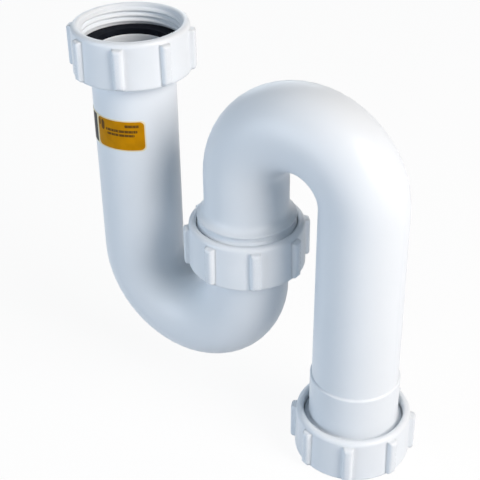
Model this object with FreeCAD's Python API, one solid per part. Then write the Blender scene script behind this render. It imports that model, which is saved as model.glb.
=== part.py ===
import FreeCAD, Part
import math
import os

# Tubular swivel S trap for a basin waste, in millimetres.
# The origin is on the inlet axis, on the seat of the inlet washer. +Z is up the inlet,
# and the trap lies in the XZ plane with its outlet towards +X.

# Tube
tube_radius = 17.5
tube_wall = 2.0
seal_depth = 75.0            # water held between the dip of the U bend and the weir of the arch
inlet_leg_length = 94.4      # inlet seat down to the centre of the U bend
rising_leg_length = 21.0     # centre of the U bend up to the union seat
outlet_leg_length = 105.1    # centre of the arch down to the end of the outlet thread
inlet_finger_gap = 11.8      # room to turn the union nut beside the inlet leg
outlet_finger_gap = 9.35     # room to turn the union nut beside the outlet leg

# Collars and flat washers
collar_width = 3.2
collar_height = 4.5
collar_edge = 0.5
washer_thickness = 2.5
washer_gap = 0.5             # round the washer, inside the nut

# Nuts, all three of one moulding
lip_height = 3.7
lip_clearance = 0.35         # between the nut's lip and the tube
lip_chamfer = 0.6
collar_clearance = 0.35      # between the collar and the nut's thread
relief_depth = 0.25          # undercut below the thread
thread_height = 8.9          # seat to rim
mouth_chamfer = 0.45
nut_wall = 2.95              # thread to outer face at the rim
nut_draft = 0.4              # growth of the outer radius from rim to foot
rim_round = 1.75
foot_round = 0.5
rib_count = 8
rib_height = 2.0
rib_root_width = 5.0
rib_tip_width = 3.5
rib_round = 1.3
rib_drop = 2.0               # rim down to the tops of the ribs
rib_lift = 1.0               # foot up to the lower ends of the ribs
inlet_rib_angle = -63.0
union_rib_angle = -48.0
outlet_rib_angle = -65.0

# Swan neck
thread_gap = 0.35            # between the male threads and the nuts
thread_chamfer = 0.6
union_thread_length = 8.0
runout_depth = 1.1           # plain recess between the union thread and its shoulder
shoulder_lift = 2.4          # nut rim up to the shoulder
shoulder_height = 0.9
shoulder_width = 3.05        # tube out to the shoulder's edge
flare_height = 4.0           # shoulder up to the plain tube
leg_draft = 0.47             # growth of the outlet leg's radius from the arch to the step
neck_rise = 0.75             # step from the outlet leg out to the neck
step_height = 27.1           # end of the outlet thread up to the step
outlet_thread_length = 5.0
socket_depth = 24.0
stop_width = 0.75            # ledge that stops the waste pipe
socket_chamfer = 1.0

# Outlet seal and slip washer
slip_thickness = 1.5
slip_bore_gap = 0.35         # slip washer's hole outside the socket's line
seal_bore_gap = 0.1          # seal's hole inside the socket's line
seal_taper = 1.2             # seal's outer radius lost from foot to top
seal_foot = 2.0              # straight part of the seal below its taper

# Label
label_gap = 0.03             # adhesive between the tube and the film
label_thickness = 0.12
label_height = 13.8
label_drop = 26.7            # inlet seat down to the label's top edge
label_start_angle = -160.0
label_end_angle = -38.5
label_corner = 2.0

# Radii that follow
bore_radius = tube_radius - tube_wall
collar_radius = tube_radius + collar_width
nut_thread_radius = collar_radius + collar_clearance
relief_radius = nut_thread_radius + relief_depth
lip_radius = tube_radius + lip_clearance
mouth_radius = nut_thread_radius + mouth_chamfer
nut_top_radius = nut_thread_radius + nut_wall
nut_foot_radius = nut_top_radius + nut_draft
rib_radius = nut_foot_radius + rib_height
washer_radius = relief_radius - washer_gap
male_thread_radius = nut_thread_radius - thread_gap
runout_radius = male_thread_radius - runout_depth
shoulder_radius = tube_radius + shoulder_width
leg_end_radius = tube_radius + leg_draft
neck_radius = leg_end_radius + neck_rise
socket_radius = bore_radius + stop_width
label_radius = tube_radius + label_gap

# Places that follow
nut_depth = washer_thickness + collar_height + lip_height
union_x = tube_radius + inlet_finger_gap + rib_radius
outlet_x = union_x + rib_radius + outlet_finger_gap + leg_end_radius
u_radius = union_x / 2
arch_radius = (outlet_x - union_x) / 2
u_centre_z = -inlet_leg_length
union_seat_z = u_centre_z + rising_leg_length
arch_centre_z = u_centre_z + seal_depth + 2 * bore_radius - u_radius - arch_radius
outlet_seat_z = arch_centre_z - outlet_leg_length

up = FreeCAD.Vector(0, 0, 1)


def point(x, z):
    return FreeCAD.Vector(x, 0, z)


def turned(outline, axis_x, seat_z):
    """Solid of revolution from an outline of (radius, height above the seat) about a vertical axis."""
    corners = [point(axis_x + radius, seat_z + height) for radius, height in outline]
    face = Part.Face(Part.makePolygon(corners + corners[:1]))
    return face.revolve(point(axis_x, seat_z), up, 360)


def ring(inner_radius, outer_radius, low, high, axis_x, seat_z):
    outline = [(inner_radius, low), (outer_radius, low), (outer_radius, high), (inner_radius, high)]
    return turned(outline, axis_x, seat_z)


def circle_edges(shape, radius, z):
    """Full circular edges of one radius at one height."""
    found = []
    for edge in shape.Edges:
        if isinstance(edge.Curve, Part.Circle):
            same_radius = abs(edge.Curve.Radius - radius) < 1e-4
            if same_radius and abs(edge.Curve.Center.z - z) < 1e-4:
                found.append(edge)
    return found


def rod(path, radius):
    """Round solid swept along a path that starts vertically."""
    start = path.Edges[0].firstVertex().Point
    section = Part.Wire([Part.makeCircle(radius, start, up)])
    return path.makePipeShell([section], True, False)


def bend_path(start, bend_start, bend_middle, bend_end, end):
    first = Part.makeLine(start, bend_start)
    bend = Part.Arc(bend_start, bend_middle, bend_end).toShape()
    last = Part.makeLine(bend_end, end)
    return Part.Wire([first, bend, last])


def collar(axis_x, seat_z):
    """Disc at a tube's end that carries the flat washer and holds the nut."""
    top = -washer_thickness
    foot = top - collar_height
    outline = [
        (0, foot),
        (collar_radius, foot),
        (collar_radius, top - collar_edge),
        (collar_radius - collar_edge, top),
        (0, top),
    ]
    return turned(outline, axis_x, seat_z)


def make_u_bend():
    inlet_top = point(0, -washer_thickness)
    union_top = point(union_x, union_seat_z - washer_thickness)
    path = bend_path(
        inlet_top,
        point(0, u_centre_z),
        point(u_radius, u_centre_z - u_radius),
        point(union_x, u_centre_z),
        union_top,
    )
    outside = rod(path, tube_radius).fuse([collar(0, 0), collar(union_x, union_seat_z)])
    return outside.cut(rod(path, bore_radius)).removeSplitter()


def nut_rib():
    """One grip rib, standing on the +X side of a nut whose seat is at the origin."""
    foot = rib_lift - nut_depth
    top = thread_height - rib_drop
    root = nut_top_radius - nut_wall / 2
    corners = [
        FreeCAD.Vector(root, -rib_root_width / 2, foot),
        FreeCAD.Vector(rib_radius, -rib_tip_width / 2, foot),
        FreeCAD.Vector(rib_radius, rib_tip_width / 2, foot),
        FreeCAD.Vector(root, rib_root_width / 2, foot),
    ]
    face = Part.Face(Part.makePolygon(corners + corners[:1]))
    block = face.extrude(up * (top - foot))
    tip_edges = [edge for edge in block.Edges if all(vertex.X > rib_radius - 1e-4 for vertex in edge.Vertexes)]
    return block.makeFillet(min(rib_round, rib_tip_width * 0.4, rib_height * 0.8), tip_edges)


def make_nut(axis_x, seat_z, rib_angle):
    foot = -nut_depth
    lip_top = foot + lip_height
    outline = [
        (lip_radius, foot),
        (nut_foot_radius, foot),
        (nut_top_radius, thread_height),
        (mouth_radius, thread_height),
        (nut_thread_radius, thread_height - mouth_chamfer),
        (nut_thread_radius, 0),
        (relief_radius, 0),
        (relief_radius, lip_top),
        (lip_radius + lip_chamfer, lip_top),
        (lip_radius, lip_top - lip_chamfer),
    ]
    body = turned(outline, 0, 0)
    rim_width = nut_top_radius - mouth_radius
    body = body.makeFillet(min(rim_round, rim_width * 0.7), circle_edges(body, nut_top_radius, thread_height))
    body = body.makeFillet(foot_round, circle_edges(body, nut_foot_radius, foot))
    rib = nut_rib()
    ribs = []
    for index in range(rib_count):
        copy = rib.copy()
        copy.rotate(FreeCAD.Vector(0, 0, 0), up, rib_angle + index * 360 / rib_count)
        ribs.append(copy)
    nut = body.fuse(ribs).removeSplitter()
    nut.translate(point(axis_x, seat_z))
    return nut


def make_flat_washer(axis_x, seat_z):
    return ring(bore_radius, washer_radius, -washer_thickness, 0, axis_x, seat_z)


def union_end():
    """Male thread, its plain run-out, shoulder and concave flare on the swan neck's foot."""
    axis = union_x
    seat = union_seat_z
    shoulder_foot = seat + thread_height + shoulder_lift
    shoulder_top = shoulder_foot + shoulder_height
    flare_top = shoulder_top + flare_height
    foot_edge = [
        point(axis, seat),
        point(axis + male_thread_radius - thread_chamfer, seat),
        point(axis + male_thread_radius, seat + thread_chamfer),
        point(axis + male_thread_radius, seat + union_thread_length),
        point(axis + runout_radius, seat + union_thread_length + runout_depth),
        point(axis + runout_radius, shoulder_foot),
        point(axis + shoulder_radius, shoulder_foot),
        point(axis + shoulder_radius, shoulder_top),
    ]
    flare_end = point(axis + tube_radius, flare_top)
    flare_radius = (shoulder_width ** 2 + flare_height ** 2) / (2 * shoulder_width)
    flare_centre = flare_end + point(flare_radius, 0)
    towards_tube = flare_end - flare_centre
    towards_shoulder = foot_edge[-1] - flare_centre
    middle_direction = (towards_tube + towards_shoulder).normalize()
    flare_middle = flare_centre + middle_direction * flare_radius
    edges = list(Part.makePolygon(foot_edge).Edges)
    edges.append(Part.Arc(foot_edge[-1], flare_middle, flare_end).toShape())
    edges.extend(Part.makePolygon([flare_end, point(axis, flare_top), point(axis, seat)]).Edges)
    return Part.Face(Part.Wire(edges)).revolve(point(axis, seat), up, 360)


def outlet_leg():
    """Falling leg with its draft, the step, the neck and the male thread at its end."""
    thread_slope = male_thread_radius - neck_radius
    outline = [
        (0, 0),
        (male_thread_radius - thread_chamfer, 0),
        (male_thread_radius, thread_chamfer),
        (male_thread_radius, outlet_thread_length),
        (neck_radius, outlet_thread_length + thread_slope),
        (neck_radius, step_height),
        (leg_end_radius, step_height),
        (tube_radius, outlet_leg_length),
        (0, outlet_leg_length),
    ]
    leg = turned(outline, outlet_x, outlet_seat_z)
    step_edge = circle_edges(leg, neck_radius, outlet_seat_z + step_height)
    return leg.makeFillet(neck_rise * 0.8, step_edge)


def make_swan_neck():
    path = bend_path(
        point(union_x, union_seat_z),
        point(union_x, arch_centre_z),
        point(union_x + arch_radius, arch_centre_z + arch_radius),
        point(outlet_x, arch_centre_z),
        point(outlet_x, outlet_seat_z),
    )
    arch_wire = Part.Wire(path.Edges[:2])
    outside = rod(arch_wire, tube_radius).fuse([union_end(), outlet_leg()])
    socket_outline = [
        (0, 0),
        (socket_radius + socket_chamfer, 0),
        (socket_radius, socket_chamfer),
        (socket_radius, socket_depth),
        (0, socket_depth),
    ]
    socket = turned(socket_outline, outlet_x, outlet_seat_z)
    return outside.cut([rod(path, bore_radius), socket]).removeSplitter()


def make_slip_washer():
    foot = lip_height - nut_depth
    top = foot + slip_thickness
    return ring(socket_radius + slip_bore_gap, washer_radius, foot, top, outlet_x, outlet_seat_z)


def make_outlet_seal():
    foot = lip_height - nut_depth + slip_thickness
    outline = [
        (socket_radius - seal_bore_gap, foot),
        (washer_radius, foot),
        (washer_radius, foot + seal_foot),
        (washer_radius - seal_taper, 0),
        (socket_radius - seal_bore_gap, 0),
    ]
    return turned(outline, outlet_x, outlet_seat_z)


def label_corner_cutter(angle, z, side, rise):
    """Waste outside one rounded corner; side and rise point from the corner into the label."""
    reach = 2 * label_corner
    start = label_radius - label_corner
    span = 3 * label_corner
    block = Part.makeBox(span, reach, reach, FreeCAD.Vector(start, -label_corner, -label_corner))
    centre = FreeCAD.Vector(start, label_corner, label_corner)
    block = block.cut(Part.makeCylinder(label_corner, span, centre, FreeCAD.Vector(1, 0, 0)))
    origin = FreeCAD.Vector(0, 0, 0)
    if side < 0:
        block = block.mirror(origin, FreeCAD.Vector(0, 1, 0))
    if rise < 0:
        block = block.mirror(origin, up)
    block.rotate(origin, up, angle)
    block.translate(up * z)
    return block


def make_label():
    top = -label_drop
    foot = top - label_height
    sweep = label_end_angle - label_start_angle
    corners = [
        point(label_radius, foot),
        point(label_radius + label_thickness, foot),
        point(label_radius + label_thickness, top),
        point(label_radius, top),
    ]
    face = Part.Face(Part.makePolygon(corners + corners[:1]))
    strip = face.revolve(FreeCAD.Vector(0, 0, 0), up, sweep)
    strip.rotate(FreeCAD.Vector(0, 0, 0), up, label_start_angle)
    cutters = [
        label_corner_cutter(label_start_angle, foot, 1, 1),
        label_corner_cutter(label_start_angle, top, 1, -1),
        label_corner_cutter(label_end_angle, foot, -1, 1),
        label_corner_cutter(label_end_angle, top, -1, -1),
    ]
    return strip.cut(cutters)


pieces = {
    "u_bend": make_u_bend(),
    "inlet_nut": make_nut(0, 0, inlet_rib_angle),
    "inlet_washer": make_flat_washer(0, 0),
    "union_nut": make_nut(union_x, union_seat_z, union_rib_angle),
    "union_washer": make_flat_washer(union_x, union_seat_z),
    "swan_neck": make_swan_neck(),
    "outlet_nut": make_nut(outlet_x, outlet_seat_z, outlet_rib_angle),
    "outlet_seal": make_outlet_seal(),
    "slip_washer": make_slip_washer(),
    "label": make_label(),
}

os.makedirs("parts", exist_ok=True)
for name, shape in pieces.items():
    shape.exportStep("parts/" + name + ".step")
    print(name, "valid", shape.isValid(), "solids", len(shape.Solids), "volume", round(shape.Volume, 1))
print("union axis x", round(union_x, 3), "outlet axis x", round(outlet_x, 3))
print("union seat z", round(union_seat_z, 3), "arch centre z", round(arch_centre_z, 3))
print("outlet seat z", round(outlet_seat_z, 3), "lowest z", round(outlet_seat_z - nut_depth, 3))
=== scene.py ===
import bpy
import math
from mathutils import Matrix, Vector


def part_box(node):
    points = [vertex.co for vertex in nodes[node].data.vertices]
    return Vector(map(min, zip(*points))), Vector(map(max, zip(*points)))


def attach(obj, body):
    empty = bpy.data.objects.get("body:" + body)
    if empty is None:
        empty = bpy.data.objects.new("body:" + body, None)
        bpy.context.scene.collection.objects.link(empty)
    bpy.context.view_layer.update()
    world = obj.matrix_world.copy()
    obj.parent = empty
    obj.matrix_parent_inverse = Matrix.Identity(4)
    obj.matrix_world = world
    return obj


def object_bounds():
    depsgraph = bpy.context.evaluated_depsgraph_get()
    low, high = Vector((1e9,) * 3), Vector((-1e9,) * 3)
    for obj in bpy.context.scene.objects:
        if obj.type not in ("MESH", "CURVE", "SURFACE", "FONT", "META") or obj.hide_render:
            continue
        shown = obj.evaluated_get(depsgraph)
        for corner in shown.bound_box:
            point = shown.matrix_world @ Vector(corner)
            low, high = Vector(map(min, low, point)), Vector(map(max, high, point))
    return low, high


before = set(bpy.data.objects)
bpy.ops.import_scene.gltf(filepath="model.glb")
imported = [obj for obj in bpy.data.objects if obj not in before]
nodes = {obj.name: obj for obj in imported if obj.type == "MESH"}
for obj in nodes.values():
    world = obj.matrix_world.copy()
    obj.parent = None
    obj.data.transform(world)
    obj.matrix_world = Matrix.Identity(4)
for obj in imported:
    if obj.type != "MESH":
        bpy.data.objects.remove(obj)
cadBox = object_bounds()
mm = 0.001
print("frame loaded:", len(nodes), "nodes")


def axisOf(nodeName):
    low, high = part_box(nodeName)
    return (low + high) / 2


def deselectAll():
    if bpy.context.mode != "OBJECT":
        bpy.ops.object.mode_set(mode="OBJECT")
    bpy.ops.object.select_all(action="DESELECT")


# shader maths: a Wire is a socket, and an expression on Wires adds Math nodes
class Wire:
    def __init__(self, tree, socket=None):
        self.tree = tree
        self.socket = socket

    def node(self, kind, settings=None, inputs=None, output=0):
        made = self.tree.nodes.new(kind)
        for name, value in (settings or {}).items():
            setattr(made, name, value)
        for key, value in (inputs or {}).items():
            if isinstance(value, Wire):
                self.tree.links.new(value.socket, made.inputs[key])
            else:
                made.inputs[key].default_value = value
        return Wire(self.tree, made.outputs[output] if len(made.outputs) else None)

    def maths(self, operation, *others):
        return self.node("ShaderNodeMath", {"operation": operation}, dict(enumerate((self, *others))))

    def __add__(self, other):
        return self.maths("ADD", other)

    def __radd__(self, other):
        return self.maths("ADD", other)

    def __sub__(self, other):
        return self.maths("SUBTRACT", other)

    def __rsub__(self, other):
        return self.node("ShaderNodeMath", {"operation": "SUBTRACT"}, {0: other, 1: self})

    def __mul__(self, other):
        return self.maths("MULTIPLY", other)

    def __rmul__(self, other):
        return self.maths("MULTIPLY", other)

    def __abs__(self):
        return self.maths("ABSOLUTE")

    def ease(self, low, high):
        # 0 below low, 1 above high, smooth between
        settings = {"interpolation_type": "SMOOTHSTEP"}
        return self.node("ShaderNodeMapRange", settings, {0: self, 1: low, 2: high, 3: 0, 4: 1})

    def swing(self, amount):
        # a noise, which runs from 0 to 1, turned into this much either side of nothing
        return (self - 0.5) * amount

    def mix(self, first, second):
        # this wire is the factor between two colours, which are a Mix node's sockets 6 and 7
        colours = {}
        for key, colour in ((6, first), (7, second)):
            colours[key] = colour if isinstance(colour, Wire) else (*colour, 1)
        return self.node("ShaderNodeMix", {"data_type": "RGBA"}, {0: self, **colours}, 2)

    def noise(self, scale, detail=2.0, roughness=0.5):
        # this wire is the place
        inputs = {"Vector": self, "Scale": scale, "Detail": detail, "Roughness": roughness}
        return self.node("ShaderNodeTexNoise", None, inputs)

    def stretched(self, scale):
        return self.node("ShaderNodeMapping", None, {"Vector": self, "Scale": scale})

    def parts(self):
        split = self.node("ShaderNodeSeparateXYZ", None, {0: self})
        outputs = split.socket.node.outputs
        return [Wire(self.tree, outputs[index]) for index in range(3)]


class Finish:
    edgeSamples = 8

    def __init__(self, name, constants):
        self.material = bpy.data.materials.new(name)
        self.material.use_nodes = True
        tree = self.material.node_tree
        tree.nodes.clear()
        self.wire = Wire(tree)
        surface = self.wire.node("ShaderNodeBsdfPrincipled")
        self.shader = surface.socket.node
        self.wire.node("ShaderNodeOutputMaterial", None, {"Surface": surface})
        for socketName, value in constants.items():
            self.shader.inputs[socketName].default_value = value

    def place(self):
        return self.wire.node("ShaderNodeTexCoord", None, None, "Object")

    def feed(self, **links):
        tree = self.wire.tree
        for socketName, wire in links.items():
            tree.links.new(wire.socket, self.shader.inputs[socketName.replace("_", " ")])

    def bump(self, height, look):
        # fine relief, on edges that are softened where the look gives a radius
        inputs = {"Height": height, "Strength": look["reliefStrength"], "Distance": look["reliefDepth"]}
        if "edgeRound" in look:
            settings = {"samples": self.edgeSamples}
            inputs["Normal"] = self.wire.node("ShaderNodeBevel", settings, {"Radius": look["edgeRound"]})
        self.feed(Normal=self.wire.node("ShaderNodeBump", None, inputs))


def wear(nodeName, material):
    meshObject = nodes[nodeName]
    meshObject.data.materials.clear()
    meshObject.data.materials.append(material)


# white moulded plastic of the two tubes; noise scales are per metre, here and below
tubePlastic = {
    "pale": (0.805, 0.848, 0.888),
    "cool": (0.780, 0.826, 0.870),
    "cloudScale": 22.0,          # soft cloud in the colour
    "cloudDetail": 3,
    "cloudEase": (0.3, 0.7),
    "flowScale": (70, 70, 9),    # long flow marks up and down the tubes
    "flowDetail": 4,
    "flowRoughness": 0.6,
    "grainScale": 2400.0,
    "grainDetail": 2,
    "seamWidth": 0.22 * mm,      # mould seam in the tubes' plane
    "seamCore": 0.3,             # share of its width at full height
    "rough": 0.36,
    "flowRough": 0.10,
    "grainRough": 0.06,
    "grainRelief": 0.5,
    "flowRelief": 0.3,
    "seamRelief": 0.35,
    "reliefStrength": 0.5,
    "reliefDepth": 0.03 * mm,
    "edgeRound": 1.2 * mm,
    "constants": {"IOR": 1.49, "Specular IOR Level": 0.36},
}


def tubeFinish(look):
    finish = Finish("tubePlastic", look["constants"])
    place = finish.place()
    cloud = place.noise(look["cloudScale"], look["cloudDetail"])
    flow = place.stretched(look["flowScale"]).noise(1, look["flowDetail"], look["flowRoughness"])
    grain = place.noise(look["grainScale"], look["grainDetail"])
    across = place.parts()[1]
    seam = 1 - abs(across).ease(look["seamWidth"] * look["seamCore"], look["seamWidth"])
    rough = look["rough"] + flow.swing(look["flowRough"]) + grain.swing(look["grainRough"])
    relief = grain * look["grainRelief"] + flow * look["flowRelief"] + seam * look["seamRelief"]
    finish.feed(Base_Color=cloud.ease(*look["cloudEase"]).mix(look["pale"], look["cool"]), Roughness=rough)
    finish.bump(relief, look)
    return finish.material


tubeMaterial = tubeFinish(tubePlastic)
for nodeName in ("u_bend", "swan_neck"):
    wear(nodeName, tubeMaterial)
print("tubes finished")

# the nuts' plastic, a little glossier, polished by hands along the ribs
nutPlastic = {
    "pale": (0.815, 0.855, 0.893),
    "cool": (0.790, 0.834, 0.875),
    "cloudScale": 35.0,
    "cloudDetail": 3,
    "cloudEase": (0.3, 0.7),
    "grainScale": 2600.0,
    "grainDetail": 2,
    "bodyRadius": 24.6 * mm,
    "ribRadius": 26.2 * mm,
    "rough": 0.34,
    "ribPolish": 0.07,
    "grainRough": 0.08,
    "grainRelief": 0.6,
    "cloudRelief": 0.4,
    "reliefStrength": 0.5,
    "reliefDepth": 0.025 * mm,
    "edgeRound": 1.5 * mm,
    "constants": {"IOR": 1.49, "Specular IOR Level": 0.36},
}


def nutFinish(name, nodeName, look):
    finish = Finish(name, look["constants"])
    centre = axisOf(nodeName)
    place = finish.place()
    x, y = place.parts()[:2]
    outX = x - centre.x
    outY = y - centre.y
    radius = (outX * outX + outY * outY).maths("SQRT")
    onRib = radius.ease(look["bodyRadius"], look["ribRadius"])
    cloud = place.noise(look["cloudScale"], look["cloudDetail"])
    grain = place.noise(look["grainScale"], look["grainDetail"])
    rough = look["rough"] - onRib * look["ribPolish"] + grain.swing(look["grainRough"])
    finish.feed(Base_Color=cloud.ease(*look["cloudEase"]).mix(look["pale"], look["cool"]), Roughness=rough)
    finish.bump(grain * look["grainRelief"] + cloud * look["cloudRelief"], look)
    return finish.material


for nodeName in ("inlet_nut", "union_nut", "outlet_nut"):
    wear(nodeName, nutFinish(nodeName + "_plastic", nodeName, nutPlastic))
print("nuts finished")

# moulded black rubber of the washers and the seal, with a faint grey bloom
rubber = {
    "black": (0.0050, 0.0068, 0.0110),
    "bloom": (0.016, 0.021, 0.030),
    "bloomScale": 120.0,
    "bloomDetail": 5,
    "bloomRoughness": 0.6,
    "bloomEase": (0.45, 0.8),
    "grainScale": 1800.0,
    "grainDetail": 3,
    "rough": 0.66,
    "bloomRough": 0.2,
    "bloomRelief": 0.5,
    "reliefStrength": 0.6,
    "reliefDepth": 0.06 * mm,
    "constants": {"IOR": 1.5, "Specular IOR Level": 0.10},
}


def rubberFinish(look):
    finish = Finish("washerRubber", look["constants"])
    place = finish.place()
    bloom = place.noise(look["bloomScale"], look["bloomDetail"], look["bloomRoughness"])
    grain = place.noise(look["grainScale"], look["grainDetail"])
    rough = look["rough"] + bloom * look["bloomRough"]
    finish.feed(Base_Color=bloom.ease(*look["bloomEase"]).mix(look["black"], look["bloom"]), Roughness=rough)
    finish.bump(grain + bloom * look["bloomRelief"], look)
    return finish.material


rubberMaterial = rubberFinish(rubber)
for nodeName in ("inlet_washer", "union_washer", "outlet_seal"):
    wear(nodeName, rubberMaterial)
print("rubber finished")

# waxy natural plastic of the slip washer
slipPlastic = {
    "milk": (0.80, 0.81, 0.78),
    "clear": (0.72, 0.74, 0.72),
    "cloudScale": 160.0,
    "cloudDetail": 3,
    "cloudEase": (0.3, 0.7),
    "markScale": 2200.0,
    "markDetail": 1,
    "rough": 0.30,
    "cloudRough": 0.1,
    "reliefStrength": 0.4,
    "reliefDepth": 0.02 * mm,
    "constants": {"IOR": 1.51, "Subsurface Weight": 0.2, "Subsurface Scale": 0.001},
}


def slipFinish(look):
    finish = Finish("slipPlastic", look["constants"])
    place = finish.place()
    cloud = place.noise(look["cloudScale"], look["cloudDetail"])
    marks = place.noise(look["markScale"], look["markDetail"])
    rough = look["rough"] + cloud * look["cloudRough"]
    finish.feed(Base_Color=cloud.ease(*look["cloudEase"]).mix(look["milk"], look["clear"]), Roughness=rough)
    finish.bump(marks, look)
    return finish.material


wear("slip_washer", slipFinish(slipPlastic))
print("slip washer finished")

# amber film label, read as arc along the tube and height up it
labelFilm = {
    "amber": (0.58, 0.255, 0.0005),
    "amberDeep": (0.50, 0.215, 0.0005),
    "border": (0.82, 0.74, 0.50),
    "ink": (0.030, 0.022, 0.012),
    "charcoal": (0.016, 0.020, 0.028),
    "tubeRadius": 17.5 * mm,
    "endAngle": -38.5,           # right end of the label, degrees round the tube
    "fieldStart": -113.4,        # left end of the amber field
    "panelEnd": -115.6,          # right end of the dark panel
    "panelStart": -133.0,        # its left end, near the tube's edge as seen
    "borderWidth": 0.5 * mm,
    "cornerRound": 2.0 * mm,
    "edgeSoft": 0.08 * mm,       # half the width of a printed edge
    "cloudScale": 260.0,
    "cloudDetail": 3,
    "cloudEase": (0.3, 0.7),
    "breakScale": 1500.0,        # gaps along the bars
    "breakEase": (0.36, 0.44),
    "inkInBreaks": 0.35,
    "inkBetween": 0.45,          # added to it between the gaps
    "barCorner": 0.3,            # of a bar's height
    "rough": 0.32,
    "cloudRough": 0.12,
    "reliefStrength": 0.2,
    "reliefDepth": 0.02 * mm,
    "constants": {"IOR": 1.48, "Specular IOR Level": 0.07},
}
labelBars = [
    # generic print: right end along the arc, top below the label's edge, length and height
    {"right": 2.6 * mm, "top": 1.9 * mm, "long": 5.9 * mm, "high": 1.2 * mm},
    {"right": 3.3 * mm, "top": 4.3 * mm, "long": 14.2 * mm, "high": 1.2 * mm},
    {"right": 4.6 * mm, "top": 6.1 * mm, "long": 12.4 * mm, "high": 1.1 * mm},
    {"right": 18.2 * mm, "top": 1.3 * mm, "long": 2.0 * mm, "high": 4.7 * mm},
    {"right": 20.6 * mm, "top": 1.1 * mm, "long": 1.4 * mm, "high": 3.4 * mm},
]


def roundedBox(u, v, halfU, halfV, corner):
    # distance outside a rounded rectangle, negative inside
    overU = (abs(u) - (halfU - corner)).maths("MAXIMUM", 0)
    overV = (abs(v) - (halfV - corner)).maths("MAXIMUM", 0)
    return (overU * overU + overV * overV).maths("SQRT") - corner


def labelFinish(look, bars):
    finish = Finish("labelFilm", look["constants"])
    low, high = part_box("label")
    place = finish.place()
    x, y, z = place.parts()
    arc = y.maths("ARCTAN2", x) * look["tubeRadius"]
    end = math.radians(look["endAngle"]) * look["tubeRadius"]
    start = math.radians(look["fieldStart"]) * look["tubeRadius"]
    panelEnd = math.radians(look["panelEnd"]) * look["tubeRadius"]
    panelStart = math.radians(look["panelStart"]) * look["tubeRadius"]
    soft = look["edgeSoft"]
    # amber field with a pale border
    middleU = (end + start) / 2
    middleV = (low.z + high.z) / 2
    halfU = (end - start) / 2 - look["borderWidth"]
    halfV = (high.z - low.z) / 2 - look["borderWidth"]
    outside = roundedBox(arc - middleU, z - middleV, halfU, halfV, look["cornerRound"])
    field = 1 - outside.ease(-soft, soft)
    cloud = place.noise(look["cloudScale"], look["cloudDetail"])
    amber = cloud.ease(*look["cloudEase"]).mix(look["amber"], look["amberDeep"])
    colour = field.mix(look["border"], amber)
    # broken bars in place of print
    breaks = (arc * look["breakScale"]).noise(1, 0).ease(*look["breakEase"])
    strength = look["inkInBreaks"] + breaks * look["inkBetween"]
    for bar in bars:
        barU = end - bar["right"] - bar["long"] / 2
        barV = high.z - bar["top"] - bar["high"] / 2
        corner = bar["high"] * look["barCorner"]
        shape = roundedBox(arc - barU, z - barV, bar["long"] / 2, bar["high"] / 2, corner)
        ink = (1 - shape.ease(-soft, soft)) * strength
        colour = ink.mix(colour, look["ink"])
    # dark panel, as high as the field, rounded at its left end and cut straight at its right
    outside = roundedBox(arc - panelEnd, z - middleV, panelEnd - panelStart, halfV, look["cornerRound"])
    dark = (1 - outside.ease(-soft, soft)) * (1 - arc.ease(panelEnd - soft, panelEnd + soft))
    colour = dark.mix(colour, look["charcoal"])
    finish.feed(Base_Color=colour, Roughness=look["rough"] + cloud * look["cloudRough"])
    finish.bump(cloud, look)
    return finish.material


wear("label", labelFinish(labelFilm, labelBars))
print("label finished")

# thread turns inside the inlet nut
threadTurns = {
    "pitch": 2.309 * mm,
    "turns": 3,
    "stepsPerTurn": 120,
    "footWidth": 2.25 * mm,
    "crestWidth": 0.8 * mm,
    "crestRound": 0.36 * mm,
    "crestSegments": 3,
    "height": 1.15 * mm,
    "wallRadius": 21.05 * mm,
    "sunk": 0.12 * mm,           # foot inside the nut's wall
    "startHeight": 0.82 * mm,    # lowest turn's middle above the washer
    "runOut": 0.22,              # share of a turn over which the ends fade into the wall
    "endShare": 0.06,            # of the ridge's height, left at the very ends
    "mergeGap": 1e-7,
    "smoothAngle": 40,
    "edgeRound": 0.25 * mm,
}


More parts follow.
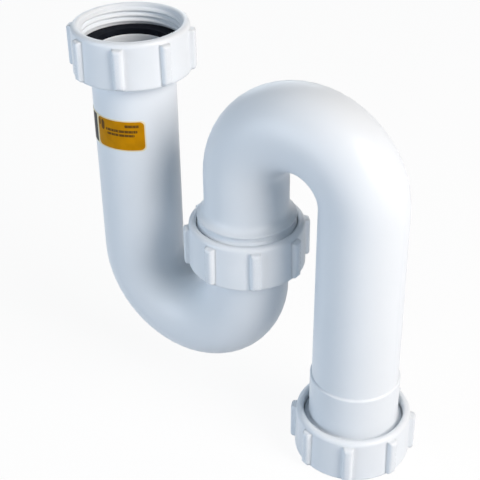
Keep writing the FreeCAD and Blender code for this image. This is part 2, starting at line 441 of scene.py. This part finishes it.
def makeThreadTurns(look):
    tall = look["height"] + look["sunk"]
    crest = look["wallRadius"] - look["height"]
    deselectAll()
    # the ridge's section, a plate in the XZ plane with its crest towards the axis
    middle = (crest + tall / 2, 0, look["startHeight"])
    bpy.ops.mesh.primitive_plane_add(size=1, location=middle, rotation=(math.pi / 2, 0, 0))
    thread = bpy.context.object
    thread.name = "inlet_thread_turns"
    thread.scale = (tall, look["footWidth"], 1)
    bpy.ops.object.transform_apply(location=True, rotation=True, scale=True)
    bpy.ops.object.mode_set(mode="EDIT")
    bpy.ops.mesh.select_all(action="SELECT")
    bpy.ops.mesh.delete(type="ONLY_FACE")
    bpy.ops.mesh.select_mode(type="VERT")
    bpy.ops.mesh.select_all(action="DESELECT")
    bpy.ops.object.mode_set(mode="OBJECT")
    for vertex in thread.data.vertices:
        vertex.select = vertex.co.x < look["wallRadius"]
    bpy.ops.object.mode_set(mode="EDIT")
    narrow = look["crestWidth"] / look["footWidth"]
    bpy.ops.transform.resize(value=(1, 1, narrow), center_override=(crest, 0, look["startHeight"]))
    bpy.ops.mesh.bevel(offset=look["crestRound"], segments=look["crestSegments"], affect="VERTICES")
    bpy.ops.object.mode_set(mode="OBJECT")
    ringSize = len(thread.data.vertices)
    screw = thread.modifiers.new("turns", "SCREW")
    screw.axis = "Z"
    screw.angle = math.tau
    screw.screw_offset = look["pitch"]
    screw.iterations = look["turns"]
    screw.steps = look["stepsPerTurn"]
    screw.render_steps = look["stepsPerTurn"]
    bpy.ops.object.modifier_apply(modifier="turns")
    fadeEnds(thread, ringSize, look)
    # close the two ends
    bpy.ops.object.mode_set(mode="EDIT")
    bpy.ops.mesh.select_all(action="SELECT")
    bpy.ops.mesh.remove_doubles(threshold=look["mergeGap"])
    bpy.ops.mesh.select_all(action="DESELECT")
    bpy.ops.mesh.select_non_manifold(extend=False)
    bpy.ops.mesh.fill_holes(sides=0)
    bpy.ops.mesh.select_all(action="SELECT")
    bpy.ops.mesh.normals_make_consistent(inside=False)
    bpy.ops.object.mode_set(mode="OBJECT")
    bpy.ops.object.shade_smooth_by_angle(angle=math.radians(look["smoothAngle"]))
    threadPlastic = {**nutPlastic, "edgeRound": look["edgeRound"]}
    thread.data.materials.append(nutFinish("inlet_thread_plastic", "inlet_nut", threadPlastic))
    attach(thread, "inlet_coupling")


def fadeEnds(thread, ringSize, look):
    # the ridge sinks into the wall at both ends
    lastRing = len(thread.data.vertices) // ringSize - 1
    fadeRings = look["runOut"] * look["stepsPerTurn"]
    foot = look["wallRadius"] + look["sunk"]
    for vertex in thread.data.vertices:
        ringIndex = vertex.index // ringSize
        share = min(1, min(ringIndex, lastRing - ringIndex) / fadeRings)
        share = share * share * (3 - 2 * share)    # smooth at both ends
        share = look["endShare"] + (1 - look["endShare"]) * share
        radius = math.hypot(vertex.co.x, vertex.co.y)
        scale = (foot - (foot - radius) * share) / radius
        vertex.co.x *= scale
        vertex.co.y *= scale


makeThreadTurns(threadTurns)
print("inlet thread made")

# pale floor under the outlet nut, white to the camera with a faint shadow
stageLook = {
    "floorSize": 12.0,
    "floorAlbedo": (0.50, 0.55, 0.61),
    "seenGlow": 0.925,
    "seenShade": (0.08, 0.08, 0.08),
    "skyColour": (0.50, 0.78, 1.0),
    "skyStrength": 0.05,
    "skySeenColour": (1.0, 1.0, 1.0),
    "skySeen": 0.98,
}


def seenRays(wire):
    rays = wire.node("ShaderNodeLightPath").socket.node.outputs
    camera = Wire(wire.tree, rays["Is Camera Ray"])
    glossy = Wire(wire.tree, rays["Is Glossy Ray"])
    through = Wire(wire.tree, rays["Is Transmission Ray"])
    return camera.maths("MAXIMUM", glossy).maths("MAXIMUM", through)


def makeFloor(look):
    deselectAll()
    bpy.ops.mesh.primitive_plane_add(size=look["floorSize"], location=(0, 0, cadBox[0].z))
    floor = bpy.context.object
    floor.name = "floor"
    material = bpy.data.materials.new("floorWhite")
    material.use_nodes = True
    tree = material.node_tree
    tree.nodes.clear()
    wire = Wire(tree)
    lit = wire.node("ShaderNodeBsdfDiffuse", None, {"Color": (*look["floorAlbedo"], 1)})
    shade = wire.node("ShaderNodeBsdfDiffuse", None, {"Color": (*look["seenShade"], 1)})
    glow = wire.node("ShaderNodeEmission", None, {"Strength": look["seenGlow"]})
    seen = wire.node("ShaderNodeAddShader", None, {0: shade, 1: glow})
    both = wire.node("ShaderNodeMixShader", None, {0: seenRays(wire), 1: lit, 2: seen})
    wire.node("ShaderNodeOutputMaterial", None, {"Surface": both})
    floor.data.materials.append(material)


def makeSky(look):
    world = bpy.data.worlds.new("paleSky")
    world.use_nodes = True
    bpy.context.scene.world = world
    tree = world.node_tree
    tree.nodes.clear()
    wire = Wire(tree)
    fillInputs = {"Color": (*look["skyColour"], 1), "Strength": look["skyStrength"]}
    seenInputs = {"Color": (*look["skySeenColour"], 1), "Strength": look["skySeen"]}
    fill = wire.node("ShaderNodeBackground", None, fillInputs)
    seen = wire.node("ShaderNodeBackground", None, seenInputs)
    both = wire.node("ShaderNodeMixShader", None, {0: seenRays(wire), 1: fill, 2: seen})
    wire.node("ShaderNodeOutputWorld", None, {"Surface": both})


makeFloor(stageLook)
makeSky(stageLook)
print("stage made")

# camera where the photograph was taken from
cameraView = {
    "place": (273.78 * mm, -317.6 * mm, 169.19 * mm),
    "yaw": 34.913,
    "pitch": 32.372,
    "roll": -0.796,
    "lens": 82.21,
    "sensor": 36.0,
    "near": 0.01,
    "far": 50,
}


def cameraTurn(look):
    yaw = math.radians(look["yaw"])
    pitch = math.radians(look["pitch"])
    roll = math.radians(look["roll"])
    flat = math.cos(pitch)
    ahead = Vector((-math.sin(yaw) * flat, math.cos(yaw) * flat, -math.sin(pitch)))
    level = Vector((math.cos(yaw), math.sin(yaw), 0))
    above = level.cross(ahead)
    right = math.cos(roll) * level + math.sin(roll) * above
    up = math.cos(roll) * above - math.sin(roll) * level
    return Matrix((right, up, -ahead)).transposed().to_euler()


def makeCamera(look):
    deselectAll()
    bpy.ops.object.camera_add(location=look["place"])
    camera = bpy.context.object
    camera.rotation_euler = cameraTurn(look)
    camera.data.lens = look["lens"]
    camera.data.sensor_width = look["sensor"]
    camera.data.clip_start = look["near"]
    camera.data.clip_end = look["far"]
    bpy.context.scene.camera = camera


makeCamera(cameraView)
print("camera set")

# soft lamps, placed round the trap by azimuth from +X and elevation, in degrees
lamps = {
    "key": {
        "azimuth": -4,
        "elevation": 32,
        "away": 1.2,
        "size": 0.8,
        "power": 16.1,
        "colour": (1.0, 0.935, 0.89),
    },
    "fill": {
        "azimuth": -118,
        "elevation": 12,
        "away": 1.2,
        "size": 0.9,
        "power": 8.2,
        "colour": (0.80, 0.89, 1.0),
    },
    "back": {
        "azimuth": 131,
        "elevation": 16,
        "away": 1.2,
        "size": 0.8,
        "power": 3.0,
        "colour": (0.80, 0.90, 1.0),
    },
}


def makeLamp(name, look):
    centre = (cadBox[0] + cadBox[1]) / 2
    azimuth = math.radians(look["azimuth"])
    elevation = math.radians(look["elevation"])
    flat = math.cos(elevation)
    direction = Vector((flat * math.cos(azimuth), flat * math.sin(azimuth), math.sin(elevation)))
    deselectAll()
    bpy.ops.object.light_add(type="AREA", location=centre + direction * look["away"])
    lamp = bpy.context.object
    lamp.name = name + "_lamp"
    lamp.rotation_euler = direction.to_track_quat("Z", "Y").to_euler()
    lamp.data.shape = "DISK"
    lamp.data.size = look["size"]
    lamp.data.energy = look["power"]
    lamp.data.color = look["colour"]


for lampName, lampLook in lamps.items():
    makeLamp(lampName, lampLook)
bpy.context.scene.view_settings.view_transform = "Standard"
print("lamps placed")
